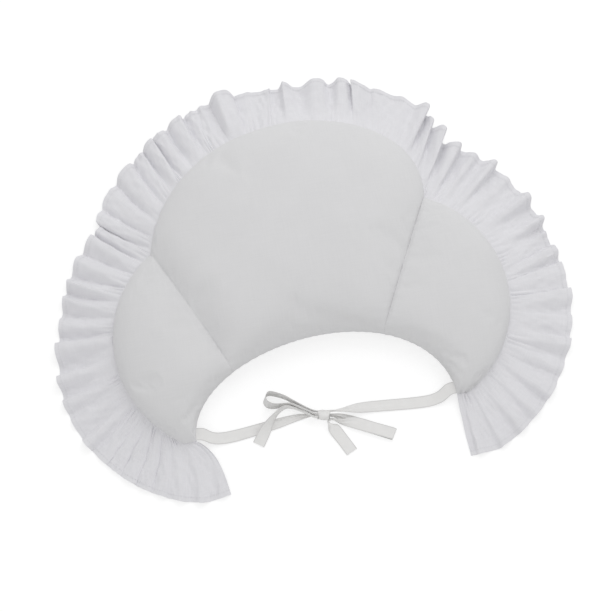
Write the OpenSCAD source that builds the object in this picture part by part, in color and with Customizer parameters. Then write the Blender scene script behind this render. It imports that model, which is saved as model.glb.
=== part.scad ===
// Bum roll laid flat: a stuffed crescent in three sections, a gathered ruffle and two ribbon ties.

/* [Pad outline] */
// Distance between the middles of the two tips
tip_gap = 314; // [295:1:335]
// Width of each blunt tip
tip_w = 15; // [12:1:18]
// Depth of the waist edge behind the tips
waist_depth = 96; // [82:1:110]
// Share by which the waist edge leans to the right
waist_lean = 0.08; // [0:0.01:0.15]
// Depth of the outer seam behind the tips
back_depth = 370; // [350:1:385]
// How far the outer seam leans out at the right of the back section
lobe_lean = 22; // [0:1:26]
// Turn of the waist edge from the left tip to the left panel seam
left_seam_turn = 50; // [45:1:56]
// Turn of the waist edge from the right tip to the right panel seam
right_seam_turn = 57; // [50:1:62]
// Distance between the outer ends of the two panel seams
notch_gap = 332; // [318:1:346]
// Depth of the outer ends of the panel seams behind the tips
notch_depth = 240; // [228:1:252]
// How far the left panel seam ends short of that depth and the right one past it
notch_skew = 7; // [0:1:10]
// How far the left section bulges out past its ends
left_bulge = 60; // [52:1:70]
// How far the right section bulges out past its ends
right_bulge = 72; // [62:1:80]

/* [Pad thickness] */
// Height of the outer seam above the table
seam_h = 20; // [16:1:26]
// Rise of the crown above the seam
crown_h = 42; // [30:1:55]
// Share of the crown lost along a panel seam
seam_dip = 0.42; // [0.3:0.02:0.6]
// Share of the height lost at the tips
tip_drop = 0.6; // [0.4:0.02:0.7]
// Thickness of the cover cloth
cloth = 0.8; // [0.6:0.1:1.2]
// Clearance between pieces that lie against each other
fit = 0.3; // [0.2:0.05:0.4]

/* [Ruffle] */
// Depth of the ruffle from seam to hem
ruffle_w = 72; // [60:1:85]
// Number of gathered folds
folds = 44; // [36:1:48]
// Height of a fold at the hem
fold_h = 15; // [8:1:20]
// Thickness of the ruffle cloth
ruffle_t = 0.8; // [0.6:0.1:1.2]
// How far the left end of the ruffle fans inward, in degrees
left_fan = 23; // [5:1:28]
// How far the right end of the ruffle fans inward, in degrees
right_fan = 1; // [-10:1:15]
// How far the left end of the ruffle bows out
end_bow = 9; // [0:1:12]

/* [Ties] */
// Width of the ribbon
tie_w = 14; // [10:1:15]
// Thickness of the ribbon
tie_t = 0.6; // [0.4:0.1:0.8]

/* [Hidden] */

cover_colour = [0.80, 0.80, 0.81];
ruffle_colour = [0.88, 0.88, 0.90];
ribbon_colour = [0.85, 0.85, 0.85];
wadding_colour = [0.95, 0.95, 0.93];

// Sections of the pad, in order from the left tip to the right tip
LEFT = 0;
BACK = 1;
RIGHT = 2;

// Waist edge: half an oval, leaning to the right, that ends on the inner corners of the tips
waist_a = tip_gap / 2 - tip_w / 2;
tip_outer = tip_gap / 2 + tip_w / 2;

function mix(a, b, t) = a + (b - a) * t;
function unit(v) = v / norm(v);
function waist_point(turn) = [waist_a * cos(turn), waist_depth * sin(turn) * (1 + waist_lean * cos(turn))];

// Arc from a to b that bulges to the left of its direction
function arc_radius(a, b, sag) = (pow(norm(b - a) / 2, 2) + sag * sag) / (2 * sag);
function arc_half(a, b, sag) = asin(norm(b - a) / 2 / arc_radius(a, b, sag));
function arc_out(a, b) = let (along = unit(b - a)) [-along[1], along[0]];
function arc_normal(a, b, sag, t) =
    let (turn = mix(-1, 1, t) * arc_half(a, b, sag))
    arc_out(a, b) * cos(turn) + unit(b - a) * sin(turn);
function arc_point(a, b, sag, t) =
    let (r = arc_radius(a, b, sag))
    (a + b) / 2 + arc_out(a, b) * (sag - r) + r * arc_normal(a, b, sag, t);

// Ends, bulges and waist turns of the three sections
corners = [[-tip_outer, 0], [-notch_gap / 2, notch_depth - notch_skew],
    [notch_gap / 2, notch_depth + notch_skew], [tip_outer, 0]];
bulges = [left_bulge, back_depth - notch_depth, right_bulge];
turns = [180, 180 - left_seam_turn, right_seam_turn, 0];

function lean_out(k, t) = k == BACK ? lobe_lean * sin(180 * pow(t, 3.5)) : 0;
function outer_edge(k, t) =
    let (a = corners[k], b = corners[k + 1])
    arc_point(a, b, bulges[k], t) + lean_out(k, t) * arc_normal(a, b, bulges[k], t);
function waist_turn(k, t) = mix(turns[k], turns[k + 1], t);
function waist_edge(k, t) = waist_point(waist_turn(k, t));
// Direction square to an edge, from two places close together on it
near = 0.001;
function outer_normal(k, t) = arc_out(outer_edge(k, t - near), outer_edge(k, t + near));
function waist_normal(k, t) = arc_out(waist_edge(k, t - near), waist_edge(k, t + near));
function arc_length(k) =
    let (a = corners[k], b = corners[k + 1])
    arc_radius(a, b, bulges[k]) * arc_half(a, b, bulges[k]) * PI / 90;

// Share of the way from the panel seam to the tip, 0 all along the middle section
function to_tip(k, t) = k == BACK ? 0 : k == LEFT ? 1 - t : t;
// Share of the way from the middle of a section to its panel seam
function to_seam(k, t) = k == BACK ? abs(2 * t - 1) : 1 - to_tip(k, t);
// Quarter round that starts at an edge and ends on a flat
function bullnose(x) = x >= 1 ? 1 : sqrt(1 - pow(1 - x, 2));

// Share of a section left free along a panel seam
seam_gap_t = 0.0015;
function tip_span(k) = k == LEFT ? left_seam_turn : right_seam_turn;
function tip_run(k) = waist_depth * tip_span(k) * PI / 180;
flat_share = 0.2;
tip_flat_share = 0.14;
under_dip = 0.3;
edge_lift = ruffle_t / 2 + fit;

function seam_z(k, t) = seam_h * (1 - tip_drop * pow(to_tip(k, t), 1.5));
function crown_at(k, t) =
    crown_h * (1 - tip_drop * pow(to_tip(k, t), 1.3)) * (1 - seam_dip * pow(to_seam(k, t), 4));
function crown_v(v) = pow(1 - pow(abs(2 * v - 1), 2.6), 0.55);
function crown_t(k, t) = sqrt(1 - pow(to_tip(k, t), 8));
function waist_lift(k, t) = mix(fit / 2, edge_lift, pow(to_tip(k, t), 2));
function lift(k, t, v) = mix(waist_lift(k, t), edge_lift, v);
function under_v(v) = bullnose(min(v, 1 - v) / flat_share);
function under_t(k, t) = bullnose((1 - to_tip(k, t)) / tip_flat_share);
function under_seam(k, t) = 1 - under_dip * pow(max(0, to_seam(k, t) - 0.7) / 0.3, 2);

// Place on the plan, drawn in square to every edge by inset
function plan(k, t, v, inset) =
    let (pull = 1 - inset / tip_run(k))
    let (s = k == BACK ? t : k == LEFT ? 1 - (1 - t) * pull : t * pull)
    let (w = waist_edge(k, s), o = outer_edge(k, s), across = o - w)
    let (at_waist = inset / (across * waist_normal(k, s)), at_seam = inset / (across * outer_normal(k, s)))
    mix(w, o, mix(at_waist, 1 - at_seam, v));
function top_point(k, t, v, inset) =
    let (rise = (crown_at(k, t) - inset) * crown_v(v) * crown_t(k, t))
    concat(plan(k, t, v, inset), seam_z(k, t) + lift(k, t, v) + rise);
function under_point(k, t, v, inset) =
    let (drop = under_v(v) * under_t(k, t) * under_seam(k, t))
    concat(plan(k, t, v, inset), (seam_z(k, t) - lift(k, t, v)) * (1 - drop) + inset * drop);

// Rows across the pad crowd towards both edges, columns crowd towards the tip
rows = 9;
side_columns = 12;
back_columns = 18;
function columns(k) = k == BACK ? back_columns : side_columns;
function row_v(j) = (1 - cos(180 * j / rows)) / 2;
function tip_crowd(x) = 1 - pow(1 - x, 1.3);
function column_t(k, i) =
    let (x = i / columns(k))
    k == BACK ? mix(seam_gap_t, 1 - seam_gap_t, mix(x, (1 - cos(180 * x)) / 2, 0.5))
    : k == LEFT ? 1 - mix(seam_gap_t, 1, tip_crowd(1 - x))
    : mix(seam_gap_t, 1, tip_crowd(x));
function top_grid(k, inset) =
    [for (i = [0 : columns(k)]) for (j = [0 : rows]) top_point(k, column_t(k, i), row_v(j), inset)];
function under_grid(k, inset) =
    [for (i = [0 : columns(k)]) for (j = [0 : rows]) under_point(k, column_t(k, i), row_v(j), inset)];

// The ruffle is caught in the seam from the left tip's inner corner to the right tip's
left_run = arc_length(LEFT);
back_run = arc_length(BACK);
right_run = arc_length(RIGHT);
seam_runs = [tip_w, left_run, back_run, right_run, tip_w];
seam_length = 2 * tip_w + left_run + back_run + right_run;
seam_starts = [0, tip_w, tip_w + left_run, tip_w + left_run + back_run, seam_length - tip_w];
function stretch(d) = max([for (n = [0 : 4]) if (d >= seam_starts[n]) n]);
function tip_point(side, t) = [side * mix(waist_a, tip_outer, t), 0, seam_z(RIGHT, 1)];
function seam_point(s) =
    let (d = s * seam_length, n = stretch(d), t = (d - seam_starts[n]) / seam_runs[n])
    n == 0 ? tip_point(-1, t)
    : n == 4 ? tip_point(1, 1 - t)
    : concat(outer_edge(n - 1, t), seam_z(n - 1, t));
// Direction in which the ruffle leaves the seam, straight back in the middle and forward at the tips
function ruffle_turn(s) =
    let (side = 2 * s - 1, fan = side < 0 ? left_fan : right_fan)
    90 - 80 * side - sign(side) * (100 + fan) * pow(abs(side), 3.6);
// Uneven gathers: each fold is a little wider or narrower than the next
function fold_phase(s) = 360 * (folds * s + 0.35 * sin(360 * 3 * s + 40) + 0.22 * sin(360 * 8 * s + 100));
function bump(s, place, spread) = exp(-pow((s - place) / spread, 2));
function end_calm(s) = 1 - 0.55 * (bump(s, 0, 0.09) + bump(s, 1, 0.09));
function fold_size(s) = (0.78 + 0.22 * sin(360 * 5 * s + 20)) * end_calm(s);
// Places where the hem falls short or reaches further: place, spread, share
hem_swells = [[0.07, 0.06, -0.04], [0.175, 0.045, -0.11], [0.31, 0.06, 0.1],
    [0.525, 0.055, -0.13], [0.72, 0.06, 0.23]];
function swell(s) = [for (w = hem_swells) w[2] * bump(s, w[0], w[1])] * [for (w = hem_swells) 1];
function hem_reach(s) = ruffle_w * (1 + swell(s) + 0.03 * sin(fold_phase(s) + 60));
function ruffle_point(s, r) =
    let (seam = seam_point(s), turn = ruffle_turn(s), open = 1 - pow(1 - max(r, 0), 2))
    let (reach = r < 0 ? -cloth : r * hem_reach(s))
    let (rise = fold_h / 2 * open * fold_size(s) * (1 + sin(fold_phase(s))))
    let (bow = end_bow * sin(180 * pow(max(r, 0), 0.8)) * bump(s, 0, 0.03))
    let (x = reach * cos(turn) - bow * sin(turn), y = reach * sin(turn) + bow * cos(turn))
    seam + [x, y, mix(0, ruffle_t / 2 - seam[2], open) + rise];
// Rows of the ruffle: the edge inside the seam, the seam line, the gathers, the fall and the hem
ruffle_rows = [-1, 0.012, 0.2, 0.55, 1];
ruffle_columns = 6 * folds;
ruffle_mid = [for (i = [0 : ruffle_columns]) for (r = ruffle_rows) ruffle_point(i / ruffle_columns, r)];

// The frame's origin stands under the middle of the outline
xs = [for (p = ruffle_mid) p[0]];
ys = [for (p = ruffle_mid) p[1]];
middle = [(min(xs) + max(xs)) / 2, (min(ys) + max(ys)) / 2, 0];

// Routes of the ties: x, y, z, lean of the ribbon's width from flat, share of its full width
tie_y = 8;
function tip_turn(k, y) = asin(y / waist_depth / (1 + (k == LEFT ? -waist_lean : waist_lean)));
function waist_seam_z(k, y) = seam_h * (1 - tip_drop * pow(1 - tip_turn(k, y) / tip_span(k), 1.5));
function tie_lean(k) =
    let (upper = waist_seam_z(k, tie_y + tie_w / 2), lower = waist_seam_z(k, tie_y - tie_w / 2))
    atan((upper - lower) / tie_w);
left_x = -waist_a * cos(tip_turn(LEFT, tie_y)) - cloth / 4;
right_x = waist_a * cos(tip_turn(RIGHT, tie_y)) + cloth / 4;
left_z = waist_seam_z(LEFT, tie_y) - fit / 3;
right_z = waist_seam_z(RIGHT, tie_y) - fit / 3;
left_route = [
    [left_x, tie_y, left_z, tie_lean(LEFT), 1],
    [left_x + 8, tie_y - 1.4, left_z - 0.5, tie_lean(LEFT), 1],
    [left_x + 21, 1.4, 3, 0, 1],
    [-106, 1, 0.8, 0, 1],
    [-62, 5.8, 0.8, 0, 0.88],
    [-44, 8, 1, 5, 0.7],
    [-32, 8.8, 1.7, 20, 0.5],
    [-22, 8.8, 2.2, 45, 0.33],
    [-10, 8.2, 2.6, 90, 0.3],
    [2, 5, 2.6, 90, 0.3],
    [12, 1.5, 2.9, 45, 0.45],
    [26, -7, 1.4, 5, 0.95],
    [51, -20.5, 0.8, 0, 1],
    [67, -29.5, 0.8, 0, 1],
    [70, -31.4, 1.4, 0, 1],
    [70, -31.4, 2.8, 180, 1],
    [67, -29.5, 3.4, 180, 1],
    [50, -20.5, 3, 180, 1],
    [29, -10, 3.6, 170, 0.95],
    [15, -6, 3.2, 135, 0.5],
    [5, -0.6, 2.6, 90, 0.3],
    [0, -2.4, 2.6, 90, 0.3],
    [1.5, -7, 3.7, 135, 0.6],
    [5, -12, 1.6, 175, 1],
    [12, -26, 0.8, 180, 1],
    [19.5, -42.5, 0.8, 180, 1]];
right_route = [
    [right_x, tie_y, right_z, -tie_lean(RIGHT), 1],
    [right_x - 8, tie_y - 1, right_z - 0.5, -tie_lean(RIGHT), 1],
    [right_x - 21, 1.6, 3, 0, 1],
    [106, 1, 0.8, 0, 1],
    [46, 6.4, 2, 0, 0.9],
    [26, 6.6, 5.6, 20, 0.65],
    [6, 7.4, 7.4, 90, 0.3],
    [-8, 9.4, 7.4, 90, 0.3],
    [-16, 12.6, 7.6, 90, 0.35],
    [-26, 19.6, 8, 90, 0.6],
    [-36, 27.4, 7.8, 90, 0.9],
    [-45, 34.6, 7.6, 90, 1],
    [-58.5, 41.2, 7.6, 92, 1],
    [-64, 39, 7.6, 84, 1],
    [-66, 34, 7.4, 76, 1],
    [-63.6, 28.6, 7.4, 76, 1],
    [-57, 25.4, 7.4, 84, 1],
    [-48, 24.6, 7.6, 90, 0.9],
    [-38, 23.4, 8.6, 90, 0.6],
    [-26, 16, 8.8, 90, 0.42],
    [-16, 9, 8, 90, 0.34],
    [-10, 5.2, 7.6, 90, 0.3],
    [-13, 3.2, 7.4, 90, 0.3],
    [-21, 8.8, 8, 90, 0.32],
    [-32, 16.6, 7.4, 90, 0.42],
    [-42, 21.6, 7.6, 90, 0.75],
    [-50, 19.6, 8.6, 92, 0.95],
    [-58, 13.6, 9, 98, 1],
    [-65, 6.6, 8.2, 116, 1],
    [-72, -1.4, 5.2, 148, 1],
    [-82, -14.4, 0.8, 180, 1]];

// Ribbon section at route point i: the middle and the half width as a vector
function heading(route, i) =
    let (a = route[max(i - 1, 0)], b = route[min(i + 1, len(route) - 1)])
    [b[0] - a[0], b[1] - a[1], b[2] - a[2]];
function half_width(route, i) =
    let (h = heading(route, i), flat = unit([-h[1], h[0]]), lean = route[i][3])
    tie_w / 2 * route[i][4] * [flat[0] * cos(lean), flat[1] * cos(lean), sin(lean)];
function spline(p, i, t) =
    let (n = len(p) - 1, a = p[max(i - 1, 0)], b = p[i], c = p[min(i + 1, n)], d = p[min(i + 2, n)])
    b + (c - a) * t / 2 + (2 * a - 5 * b + 4 * c - d) * t * t / 2 + (3 * b - 3 * c + d - a) * t * t * t / 2;
rings_per_point = 3;
function refine(p) =
    let (steps = [for (n = [0 : rings_per_point - 1]) n / rings_per_point])
    concat([for (i = [0 : len(p) - 2]) for (t = steps) spline(p, i, t)], [p[len(p) - 1]]);

// Closed sheet between an upper and a lower grid of (n + 1) by (m + 1) points
module sheet(upper, lower, n, m) {
    count = (n + 1) * (m + 1);
    function at(i, j) = i * (m + 1) + j;
    function below(i, j) = count + at(i, j);
    function quad(a, b, c, d) = [[a, b, c], [a, c, d]];
    function patch(p, i, j) =
        (i < n / 2) == (j < m / 2) ? quad(p, p + 1, p + m + 2, p + m + 1)
        : quad(p + 1, p + m + 2, p + m + 1, p);
    function turned(faces) = [for (f = faces) [f[2], f[1], f[0]]];
    skins = [for (i = [0 : n - 1]) for (j = [0 : m - 1])
        each concat(patch(at(i, j), i, j), turned(patch(below(i, j), i, j)))];
    long_edges = [for (i = [0 : n - 1]) each concat(
        quad(at(i, 0), at(i + 1, 0), below(i + 1, 0), below(i, 0)),
        quad(at(i, m), below(i, m), below(i + 1, m), at(i + 1, m)))];
    short_edges = [for (j = [0 : m - 1]) each concat(
        quad(at(0, j + 1), at(0, j), below(0, j), below(0, j + 1)),
        quad(at(n, j), at(n, j + 1), below(n, j + 1), below(n, j)))];
    polyhedron(concat(upper, lower), concat(skins, long_edges, short_edges));
}

module top_panel(k) {
    color(cover_colour) translate(-middle)
        sheet(top_grid(k, 0), top_grid(k, cloth), columns(k), rows);
}

module under_panel(k) {
    color(cover_colour) translate(-middle)
        sheet(under_grid(k, cloth), under_grid(k, 0), columns(k), rows);
}

module wadding(k) {
    inset = cloth + fit;
    color(wadding_colour) translate(-middle)
        sheet(top_grid(k, inset), under_grid(k, inset), columns(k), rows);
}

module ribbon(route) {
    middles = refine([for (p = route) [p[0], p[1], p[2]]]);
    halves = refine([for (i = [0 : len(route) - 1]) half_width(route, i)]);
    last = len(middles) - 1;
    along = [for (i = [0 : last]) middles[min(i + 1, last)] - middles[max(i - 1, 0)]];
    skin = [for (i = [0 : last]) tie_t / 2 * unit(cross(along[i], halves[i]))];
    near_edge = middles - halves;
    far_edge = middles + halves;
    upper = [for (i = [0 : last]) each [near_edge[i] + skin[i], far_edge[i] + skin[i]]];
    lower = [for (i = [0 : last]) each [near_edge[i] - skin[i], far_edge[i] - skin[i]]];
    color(ribbon_colour) translate(-middle) sheet(upper, lower, last, 1);
}

module back_top_panel() top_panel(BACK);
module left_top_panel() top_panel(LEFT);
module right_top_panel() top_panel(RIGHT);
module back_under_panel() under_panel(BACK);
module left_under_panel() under_panel(LEFT);
module right_under_panel() under_panel(RIGHT);
module back_wadding() wadding(BACK);
module left_wadding() wadding(LEFT);
module right_wadding() wadding(RIGHT);

module ruffle() {
    half = [0, 0, ruffle_t / 2];
    color(ruffle_colour) translate(-middle)
        sheet([for (p = ruffle_mid) p + half], [for (p = ruffle_mid) p - half],
            ruffle_columns, len(ruffle_rows) - 1);
}

module left_tie() ribbon(left_route);
module right_tie() ribbon(right_route);

back_top_panel();
left_top_panel();
right_top_panel();
back_under_panel();
left_under_panel();
right_under_panel();
back_wadding();
left_wadding();
right_wadding();
ruffle();
left_tie();
right_tie();
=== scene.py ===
import math
import random

import bpy
import numpy as np
from bpy.props import FloatProperty, FloatVectorProperty, IntProperty, PointerProperty
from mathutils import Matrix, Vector


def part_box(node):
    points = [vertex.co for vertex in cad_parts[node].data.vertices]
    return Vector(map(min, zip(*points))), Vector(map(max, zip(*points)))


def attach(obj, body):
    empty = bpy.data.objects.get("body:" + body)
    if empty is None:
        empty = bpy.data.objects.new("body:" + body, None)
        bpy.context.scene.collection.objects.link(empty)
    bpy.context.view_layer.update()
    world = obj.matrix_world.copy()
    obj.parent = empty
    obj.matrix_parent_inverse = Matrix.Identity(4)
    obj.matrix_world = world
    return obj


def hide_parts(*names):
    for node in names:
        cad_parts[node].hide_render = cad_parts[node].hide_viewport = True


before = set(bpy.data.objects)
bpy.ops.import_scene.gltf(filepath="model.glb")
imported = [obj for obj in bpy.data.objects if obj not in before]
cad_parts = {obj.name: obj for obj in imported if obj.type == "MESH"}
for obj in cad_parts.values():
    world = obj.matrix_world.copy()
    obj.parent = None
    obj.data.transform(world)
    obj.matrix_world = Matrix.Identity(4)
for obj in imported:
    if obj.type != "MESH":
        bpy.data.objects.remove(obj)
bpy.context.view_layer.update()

bl_info = {
    "name": "Bum Roll",
    "version": (1, 0, 0),
    "blender": (4, 5, 0),
    "location": "3D View > Sidebar > Bum Roll",
    "description": "Dresses the packed bum roll: stuffed sections, gathered ruffle and ribbon ties",
    "category": "Object",
}

MM = 0.001
LEFT, BACK, RIGHT = 0, 1, 2

# Pattern of the pad in millimetres and degrees, from the middle of the line between its tips
TIP_GAP, TIP_W = 314.0, 15.0
WAIST_DEPTH, WAIST_LEAN, BACK_DEPTH = 96.0, 0.08, 370.0
LEFT_SEAM_TURN, RIGHT_SEAM_TURN, SEAM_GAP = 50.0, 57.0, 0.0015
NOTCH_GAP, NOTCH_DEPTH, NOTCH_SKEW = 332.0, 240.0, 7.0
LEFT_BULGE, RIGHT_BULGE, LOBE_LEAN = 60.0, 72.0, 22.0
SEAM_H, CROWN_H = 20.0, 42.0
SEAM_DIP, TIP_DROP = 0.42, 0.6
# How squarely the crown falls off towards the waist edge and the outer seam, and how round it is
WAIST_SLUMP, OUTER_SLUMP, CROWN_ROUND = 4.6, 2.6, 0.55
# Shares of a section that the rounding of its underside takes up
FLAT_SHARE, TIP_FLAT_SHARE = 0.2, 0.14
# Share of the underside's drop that is lost at a panel seam, where that starts and how far it runs
UNDER_DIP, UNDER_DIP_FROM, UNDER_DIP_OVER = 0.3, 0.7, 0.3
# Least height above the table of the cover, and of the middle of the ruffle's cloth and of a ribbon
COVER_LOW, RUFFLE_LOW, RIBBON_LOW = 0.15, 0.35, 0.4
WAIST_A = TIP_GAP / 2 - TIP_W / 2
TIP_OUTER = TIP_GAP / 2 + TIP_W / 2
CORNERS = np.array([[-TIP_OUTER, 0], [-NOTCH_GAP / 2, NOTCH_DEPTH - NOTCH_SKEW],
                    [NOTCH_GAP / 2, NOTCH_DEPTH + NOTCH_SKEW], [TIP_OUTER, 0]])
BULGES = (LEFT_BULGE, BACK_DEPTH - NOTCH_DEPTH, RIGHT_BULGE)
TURNS = (180.0, 180.0 - LEFT_SEAM_TURN, RIGHT_SEAM_TURN, 0.0)

# Seams of the cover in millimetres: width of the stitched line, its share on the left seam, its fading ends
LINE_W, LEFT_LINE, OUTER_FADE, WAIST_FADE = 1.3, 0.35, 14.0, 10.0
# Width of the roll on either side of the left seam and of the crease on the right one, share of fading ends
LEFT_ROLL_W, BACK_ROLL_W, CREASE_W, DIP_FADE = 6.0, 26.0, 3.2, 0.15
# Puckers beside the panel seams, the outer seam and the waist edge: pitch and share of their height
PANEL_PUCKER, OUTER_PUCKER, WAIST_PUCKER = (10.0, 1.0), (8.5, 1.5), (9.5, 0.9)
# How close to a seam the puckers start and how far they reach, and how far from it the stuffing is lumpy
PUCKER_START, PUCKER_REACH, LUMP_START = 2.5, 8.0, 40.0

# Pattern of the ruffle, in millimetres and degrees
RUFFLE_W, FOLD_H, RUFFLE_T = 72.0, 15.0, 0.8
LEFT_FAN, RIGHT_FAN = 23.0, 1.0
# How far the left end bows out, and along which share of the seam
END_BOW, END_BOW_SPREAD = 9.0, 0.03
# Where the hem falls short or reaches further: place along the seam, spread, share of the width
HEM_SWELLS = ((0.07, 0.06, -0.04), (0.175, 0.045, -0.11), (0.31, 0.06, 0.1), (0.525, 0.055, -0.13),
              (0.72, 0.06, 0.23))
# Degrees that the ruffle turns between the middle and a tip, evenly and near the tip, and how late the latter
EVEN_TURN, TIP_TURN, TIP_TURN_LATE = 80.0, 100.0, 3.6
# How the ruffle sways along the seam: degrees, number of sways, start in radians, and its calm ends
SWAYS, SWAY_FADE = ((4.0, 7.3, 1.0), (3.0, 13.1, 2.2)), 0.06
# Crest of a fold: half its share of the fold and how fast that narrows with sharpness
CREST_HALF, CREST_NARROWS = 0.29, 0.62
# How bluntly a low fold, a high fold and a box-like fold end, the height and sharpness that part them
LOW_BLUNT, HIGH_BLUNT, BOX_BLUNT, HIGH_FROM, BOX_BELOW = 2.2, 3.6, 5.0, 0.5, 0.5
# Share of their height that the folds keep on the left and further on, and the place where that changes
LEFT_SHARE, LATER_SHARE, LEFT_UNTIL = 0.85, 0.95, 0.43
# How much later the folds further on rise on their way to the hem, and the place where that changes
LATER_RISE, LATE_FROM = 1.8, 0.45
# Share of a fold's height by which it reaches further out, and of FOLD_H to which slack valleys may rise
FOLD_REACH, VALLEY_RISE = 0.22, 0.5
# Slow unevenness of the cloth, up and down and along the seam
UNEVEN_RISE, UNEVEN_SHIFT = 0.9, 1.3
# Tucks of the gathered edge: number in a fold, height, share of the width they reach and where they start
TUCKS, TUCK_H, TUCK_REACH, TUCK_START = 2.6, 1.5, 0.34, 0.03
# Creases of the crumpled cloth: height, wandering, and their radians across a fold and from seam to hem
CREASE_H, CREASE_WANDER = 0.85, 0.9
CREASES = ((4.3, 7.0), (6.1, -9.0), (2.7, 12.0))
# Hem: layers of cloth, and the row of the mesh that runs along its middle
HEM_LAYERS, HEM_ROW = 1.7, -3
# Stitches: shares of the width just inside them and on them, radius, sides, lift as a share of the cloth
STITCH_ROWS, STITCH_R, STITCH_SIDES, STITCH_LIFT = (0.918, 0.926), 0.24, 6, 0.85
# Rings of a stitch: place along it, share of its radius, height
STITCH_RINGS = ((-0.38, 0.25, -0.05), (-0.24, 0.95, 0.22), (0.24, 0.95, 0.22), (0.38, 0.25, -0.05))
# Crests of the folds: place along the seam, share of FOLD_H, sharpness, lean towards the right tip
FOLD_CRESTS = (
    (0.005, 0.22, 1.0, 0), (0.017, 0.42, 0.8, 0), (0.0265, 0.4, 0.8, 0.1), (0.0365, 0.45, 0.8, -0.1),
    (0.0455, 0.42, 0.8, 0), (0.055, 0.45, 0.8, 0.1), (0.0655, 0.42, 0.8, 0), (0.0755, 0.38, 0.8, -0.1),
    (0.0878, 0.85, 1.4, 0.2), (0.1025, 0.3, 1.0, 0), (0.118, 0.55, 1.1, 0.1), (0.1388, 0.95, 1.4, 0.2),
    (0.1625, 1.1, 0.9, 0.2), (0.1795, 0.65, 0.6, 0.1), (0.1983, 0.8, 0.55, 0.2), (0.2152, 0.8, 0.55, 0.1),
    (0.2328, 0.8, 0.55, 0.2), (0.2525, 0.8, 0.6, 0.2), (0.2685, 0.55, 0.6, 0), (0.2848, 0.8, 0.7, 0),
    (0.304, 0.6, 0.7, 0), (0.327, 0.85, 0.6, 0.1), (0.3465, 0.5, 0.8, 0.1), (0.366, 0.85, 0.8, 0.2),
    (0.3825, 0.55, 0.8, 0), (0.4068, 0.9, 0.7, 0.1), (0.4225, 0.4, 0.9, 0), (0.4355, 0.3, 1.0, 0),
    (0.4565, 1.25, 0.4, 0.2), (0.4785, 0.25, 1.0, 0), (0.4985, 0.25, 1.0, 0), (0.5202, 0.95, 0.8, 0),
    (0.5497, 1.0, 0.8, 0.25), (0.5717, 0.95, 0.8, 0.25), (0.5913, 0.95, 0.8, -0.4), (0.608, 0.4, 0.8, -0.2),
    (0.626, 0.3, 1.0, 0), (0.6465, 1.0, 1.0, 0.3), (0.666, 0.4, 1.0, 0), (0.686, 1.05, 1.3, 0.3),
    (0.7065, 1.0, 1.4, 0.2), (0.7215, 0.45, 1.0, 0), (0.7375, 1.0, 1.2, 0.2), (0.757, 0.35, 1.0, 0),
    (0.7758, 1.05, 1.4, 0.2), (0.7993, 0.95, 1.2, 0.1), (0.8185, 0.4, 1.0, 0), (0.8355, 0.85, 1.0, 0.1),
    (0.847, 0.6, 0.9, 0), (0.867, 0.95, 1.0, -0.1), (0.8835, 0.5, 0.8, 0), (0.9032, 0.7, 0.9, -0.1),
    (0.9195, 0.4, 0.9, 0), (0.9357, 0.6, 0.8, 0.1), (0.9527, 0.42, 0.8, 0), (0.968, 0.5, 0.8, -0.1),
    (0.983, 0.4, 0.8, 0), (0.9945, 0.25, 1.0, 0),
)

# Where the ties leave the tips: y of both, then x, z and the ribbon's lean on each side
TIE_Y = 8.0
LEFT_X, LEFT_Z, LEFT_LEAN = -149.085, 9.721, 12.52
RIGHT_X, RIGHT_Z, RIGHT_LEAN = 149.254, 9.27, -9.55
# Routes of the ties: x, y, z, lean of the ribbon's width from flat, share of its full width
LEFT_ROUTE = (
    (LEFT_X, TIE_Y, LEFT_Z, LEFT_LEAN, 1), (LEFT_X + 8, TIE_Y - 1.4, LEFT_Z - 0.5, LEFT_LEAN, 1),
    (LEFT_X + 21, 1.4, 3, 0, 1), (-106, 1, 0.8, 0, 1), (-62, 5.8, 0.8, 0, 0.88), (-44, 8, 1, 5, 0.7),
    (-32, 8.8, 1.7, 20, 0.5), (-22, 8.8, 2.2, 45, 0.33), (-10, 8.2, 2.6, 90, 0.3), (2, 5, 2.6, 90, 0.3),
    (12, 1.5, 2.9, 45, 0.45), (26, -7, 1.4, 5, 0.95), (51, -20.5, 0.8, 0, 1), (67, -29.5, 0.8, 0, 1),
    (70, -31.4, 1.4, 0, 1), (70, -31.4, 2.8, 180, 1), (67, -29.5, 3.4, 180, 1), (50, -20.5, 3, 180, 1),
    (29, -10, 3.6, 170, 0.95), (15, -6, 3.2, 135, 0.5), (5, -0.6, 2.6, 90, 0.3), (0, -2.4, 2.6, 90, 0.3),
    (1.5, -7, 3.7, 135, 0.6), (5, -12, 1.6, 175, 1), (12, -26, 0.8, 180, 1), (19.5, -42.5, 0.8, 180, 1),
)
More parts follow.
